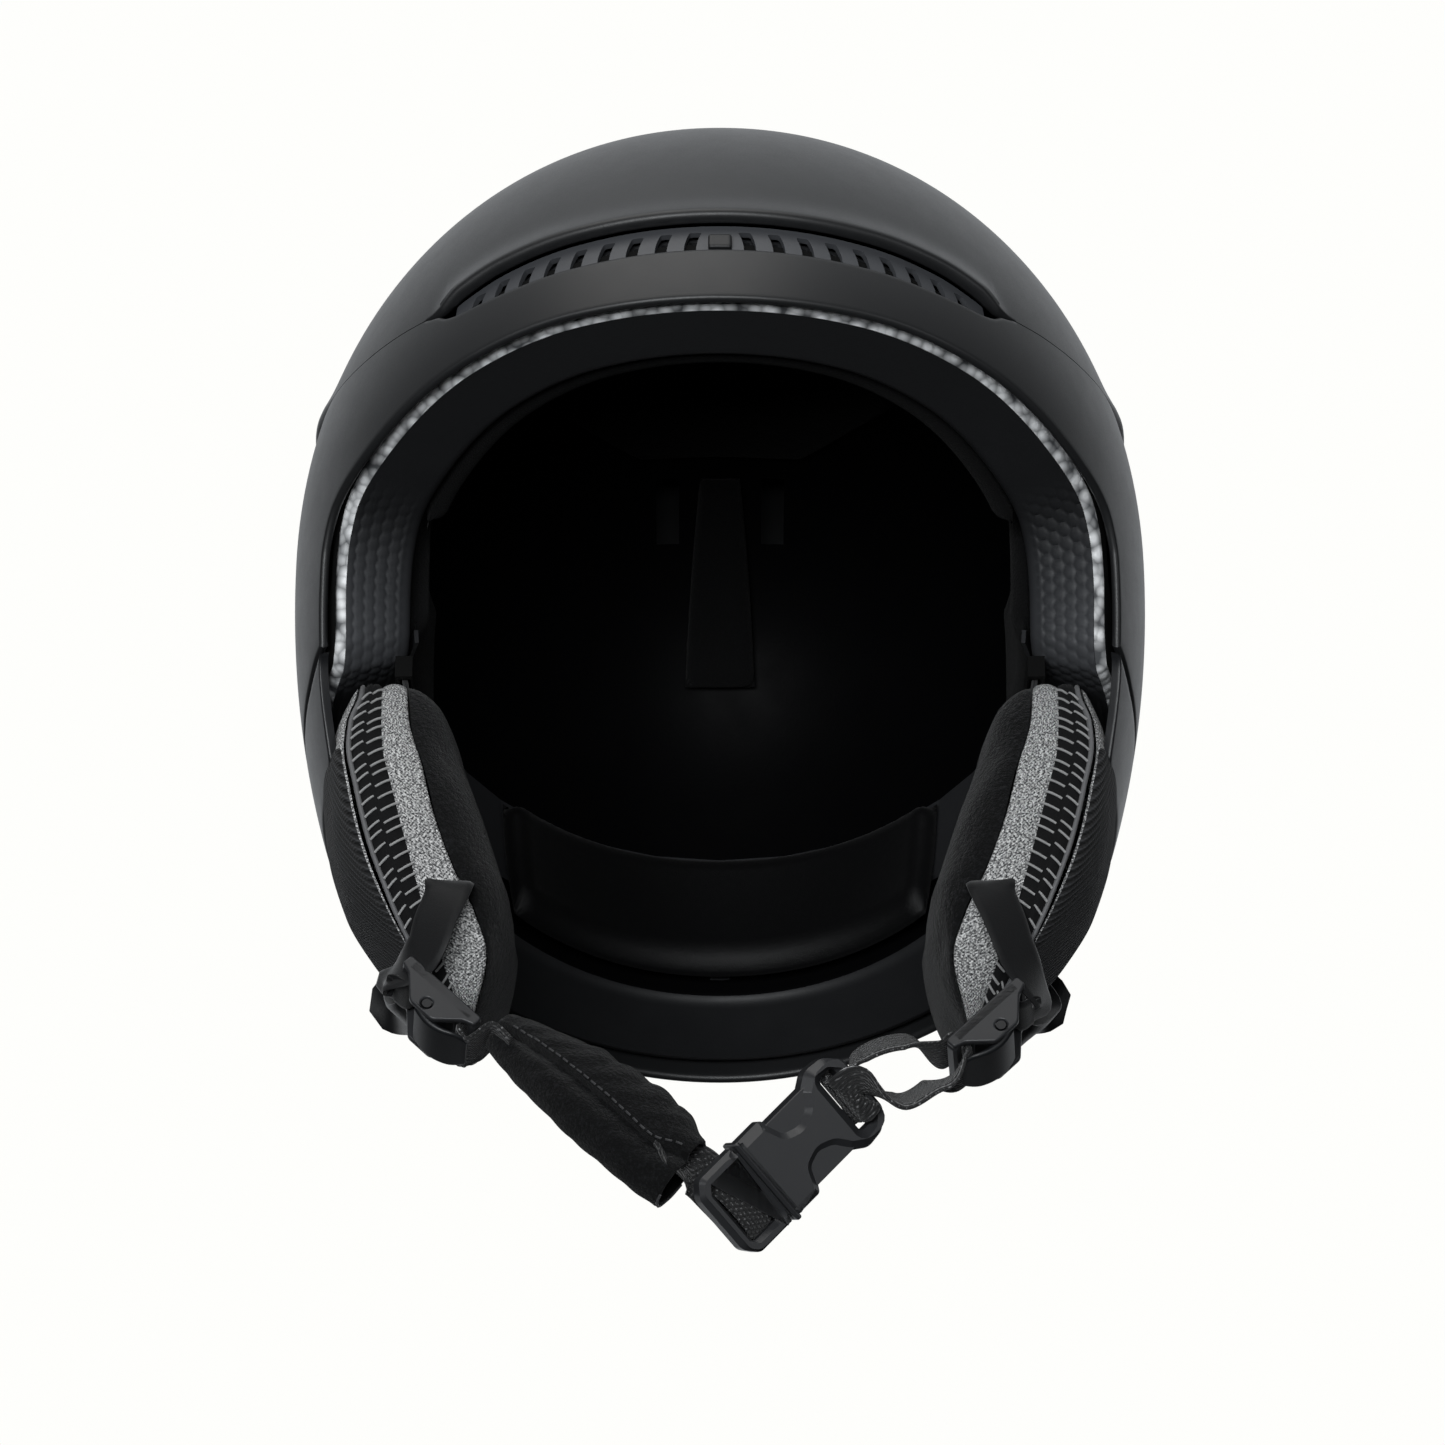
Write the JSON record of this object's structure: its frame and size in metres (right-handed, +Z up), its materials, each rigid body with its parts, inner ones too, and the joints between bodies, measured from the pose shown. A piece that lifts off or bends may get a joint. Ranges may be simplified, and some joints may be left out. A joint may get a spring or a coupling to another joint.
{
  "type": "ski helmet",
  "caption": "Hard-shell snow helmet with a front vent, padded foam liner, fabric ear pads, rear fit dial, goggle clip and a buckled chin strap.",
  "frame": {"origin": "middle of the head cavity, at the level where the shell is widest", "axes": "+Z up, -Y the way the wearer looks, +X the wearer's left"},
  "size_m": [0.2238, 0.2868, 0.3155],
  "materials": {
    "shell": "matte",
    "trim": "satin",
    "foam": "matte expanded bead foam with a fine cell relief",
    "plastic": "satin",
    "insert": "satin",
    "fleece": "brushed fleece",
    "melange": "melange knit",
    "mesh": "ribbed knit",
    "webbing": "woven",
    "steel": "turned"
  },
  "bodies": {
    "helmet": {"outer_shell": "shell", "brow_band": "shell", "side_trim_left": "trim", "side_trim_right": "trim", "foam_liner": "foam", "vent_grille": "insert", "brow_pad": "fleece", "side_pad_left": "fleece", "side_pad_right": "fleece", "crown_pad": "fleece", "rear_pad": "fleece", "fit_cradle": "plastic", "head_band_left": "plastic", "head_band_right": "plastic", "nape_pad": "fleece", "dial_housing": "plastic", "goggle_clip_base": "trim", "goggle_clip_pin": "steel", "ear_pad_left": "melange", "ear_panel_left": "mesh", "ear_plush_left": "fleece", "ear_frame_left": "plastic", "strap_front_left": "webbing", "strap_rear_left": "webbing", "strap_anchor_front_left": "plastic", "strap_anchor_rear_left": "plastic", "strap_divider_left": "plastic", "ear_pad_right": "melange", "ear_panel_right": "mesh", "ear_plush_right": "fleece", "ear_frame_right": "plastic", "strap_front_right": "webbing", "strap_rear_right": "webbing", "strap_anchor_front_right": "plastic", "strap_anchor_rear_right": "plastic", "strap_divider_right": "plastic"},
    "vent": {"vent_shutter": "plastic"},
    "dial": {"fit_dial": "trim", "dial_pinion": "plastic"},
    "upper_rack": {"rack_upper": "plastic"},
    "lower_rack": {"rack_lower": "plastic"},
    "flap": {"goggle_clip_flap": "trim"},
    "lever_left": {"divider_lever_left": "trim"},
    "lever_right": {"divider_lever_right": "trim"},
    "chin_strap": {"chin_pad": "fleece", "buckle_male": "plastic", "chin_webbing_middle": "webbing", "chin_webbing_right": "webbing"},
    "latch_upper": {"buckle_arm_upper": "plastic"},
    "latch_lower": {"buckle_arm_lower": "plastic"},
    "buckle_half": {"buckle_female": "plastic", "adjuster_webbing_upper": "webbing", "adjuster_webbing_lower": "webbing"}
  },
  "joints": [
    {"name": "vent_slide", "type": "hinge", "parent": "helmet", "child": "vent", "pos_m": [0, -0.029, 0.029], "axis": [0, 0, 1], "range_deg": [-2, 2]},
    {"name": "dial_turn", "type": "hinge", "parent": "helmet", "child": "dial", "pos_m": [0, 0.12, -0.064], "axis": [0, -1, 0], "range_deg": [0, 180]},
    {"name": "upper_rack_travel", "type": "slide", "parent": "helmet", "child": "upper_rack", "axis": [1, 0, 0], "range_m": [-0.0127, 0]},
    {"name": "lower_rack_travel", "type": "slide", "parent": "helmet", "child": "lower_rack", "axis": [1, 0, 0], "range_m": [0, 0.0127]},
    {"name": "goggle_flap", "type": "hinge", "parent": "helmet", "child": "flap", "pos_m": [0, 0.151, 0.015], "axis": [1, 0, 0], "range_deg": [0, 95]},
    {"name": "left_lever", "type": "hinge", "parent": "helmet", "child": "lever_left", "pos_m": [0.06907, -0.03262, -0.14353], "axis": [-0.0827, -0.9928, 0.0863], "range_deg": [0, 75]},
    {"name": "right_lever", "type": "hinge", "parent": "helmet", "child": "lever_right", "pos_m": [-0.07217, -0.03262, -0.13773], "axis": [-0.0827, 0.9928, -0.0863], "range_deg": [0, 75]},
    {"name": "chin_swing", "type": "hinge", "parent": "helmet", "child": "chin_strap", "pos_m": [0, -0.0346, -0.14], "axis": [1, 0, 0], "range_deg": [-25, 30], "deforming": ["chin_webbing_right"]},
    {"name": "latch_upper_press", "type": "hinge", "parent": "chin_strap", "child": "latch_upper", "pos_m": [0.0063, -0.03704, -0.17647], "axis": [-0.3659, 0.8665, 0.3395], "range_deg": [0, 5], "stiffness_Nm_per_rad": 0.02},
    {"name": "latch_lower_press", "type": "hinge", "parent": "chin_strap", "child": "latch_lower", "pos_m": [0.01406, -0.03096, -0.18366], "axis": [0.3659, -0.8665, -0.3395], "range_deg": [0, 5], "stiffness_Nm_per_rad": 0.02},
    {"name": "buckle_release", "type": "slide", "parent": "chin_strap", "child": "buckle_half", "axis": [0.6801, 0, 0.7331], "range_m": [0, 0.018], "deforming": ["adjuster_webbing_upper", "adjuster_webbing_lower"]}
  ],
  "couplings": [
    {"joint": "upper_rack_travel", "follows": "dial_turn", "m_per_rad": -0.004},
    {"joint": "lower_rack_travel", "follows": "dial_turn", "m_per_rad": 0.004},
    {"joint": "latch_lower_press", "follows": "latch_upper_press", "ratio": 1}
  ]
}
